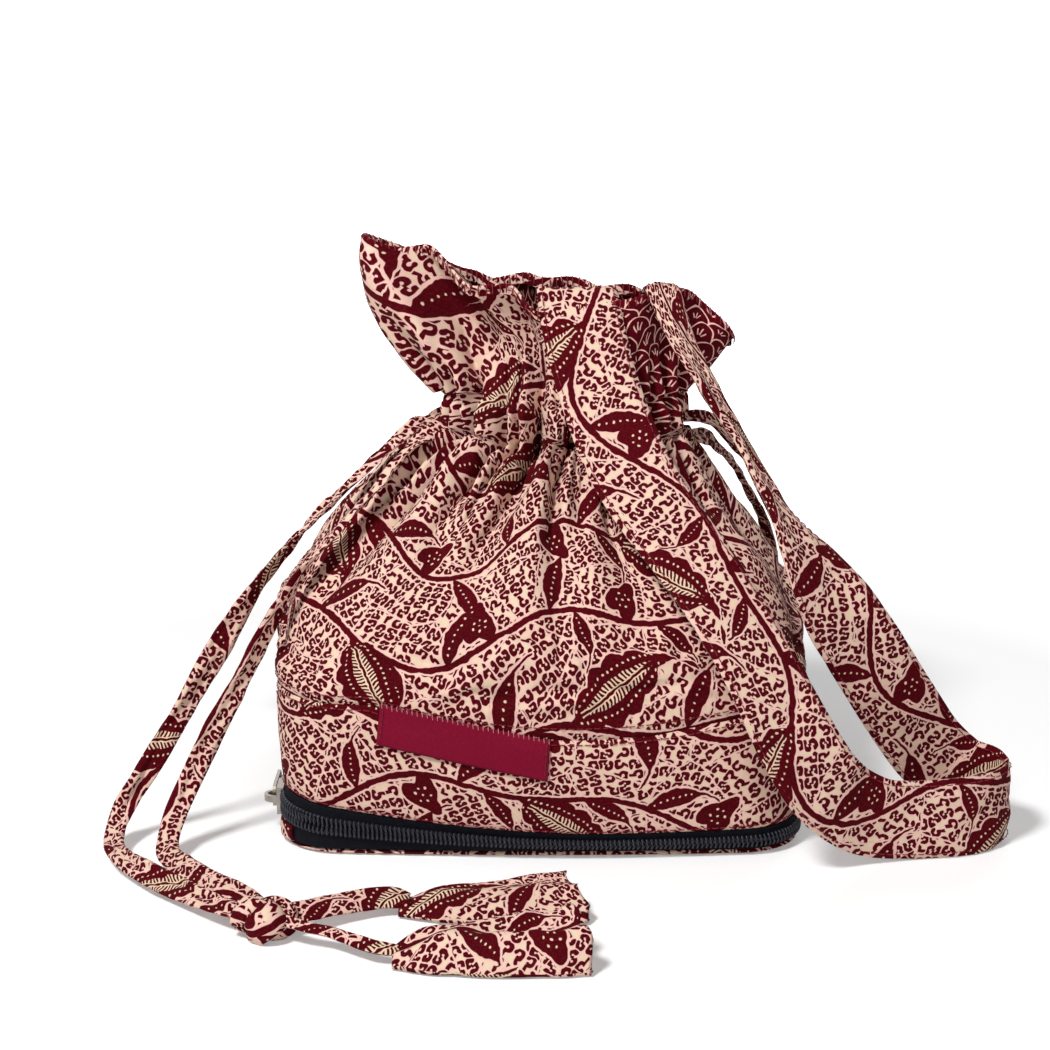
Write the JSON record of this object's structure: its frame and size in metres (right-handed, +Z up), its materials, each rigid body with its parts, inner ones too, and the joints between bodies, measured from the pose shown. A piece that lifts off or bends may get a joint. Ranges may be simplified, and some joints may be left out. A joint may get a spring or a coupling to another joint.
{
  "type": "kinchaku drawstring pouch",
  "caption": "Boxy cotton drawstring pouch with a zip around its foot, a gathered neck with a flared mouth, ribbon ties and one wide shoulder strap.",
  "frame": {"origin": "on the floor, at the middle of the base panel's underside", "axes": "+Z up; -Y is the front, which carries the label; +X is to the right as seen from the front"},
  "size_m": [0.3025, 0.2928, 0.1935],
  "materials": {
    "batik_cotton": "printed plain-weave cotton, cream ground with dark red figures",
    "lining_cotton": "printed plain-weave cotton, dark red with cream outlined scales",
    "zip_tape": "woven polyester, black",
    "zip_coil": "nylon monofilament, black, semi-gloss",
    "label_satin": "woven satin, crimson, bare",
    "nickel": "bright nickel plate on zinc"
  },
  "bodies": {
    "pouch": {"base_panel": "batik_cotton", "lower_zip_tape": "zip_tape", "lower_zip_coil": "zip_coil", "upper_zip_coil": "zip_coil", "upper_zip_tape": "zip_tape", "lower_band": "batik_cotton", "pouch_body": "batik_cotton", "lining": "lining_cotton", "woven_label": "label_satin", "zip_end_tab": "batik_cotton", "shoulder_strap": "batik_cotton", "left_casing_ribbon": "batik_cotton", "right_casing_ribbon": "batik_cotton", "left_ribbon_outer": "batik_cotton", "left_ribbon_inner": "batik_cotton", "left_knot": "batik_cotton", "left_tail_upper": "batik_cotton", "left_tail_lower": "batik_cotton", "left_end_upper": "batik_cotton", "left_end_lower": "batik_cotton", "right_ribbon_outer": "batik_cotton", "right_ribbon_inner": "batik_cotton", "right_knot": "batik_cotton", "right_tail_upper": "batik_cotton", "right_tail_lower": "batik_cotton", "right_end_upper": "batik_cotton", "right_end_lower": "batik_cotton"},
    "slider": {"zip_slider": "nickel"},
    "pull_tab": {"zip_pull_tab": "nickel"}
  },
  "joints": [
    {"name": "slider_travel", "type": "slide", "parent": "pouch", "child": "slider", "axis": [0, 1, 0], "range_m": [0, 0.1]},
    {"name": "pull_tab_hinge", "type": "hinge", "parent": "slider", "child": "pull_tab", "pos_m": [-0.0899, -0.052, 0.01185], "axis": [0, 0, 1], "range_deg": [0, 170]}
  ]
}
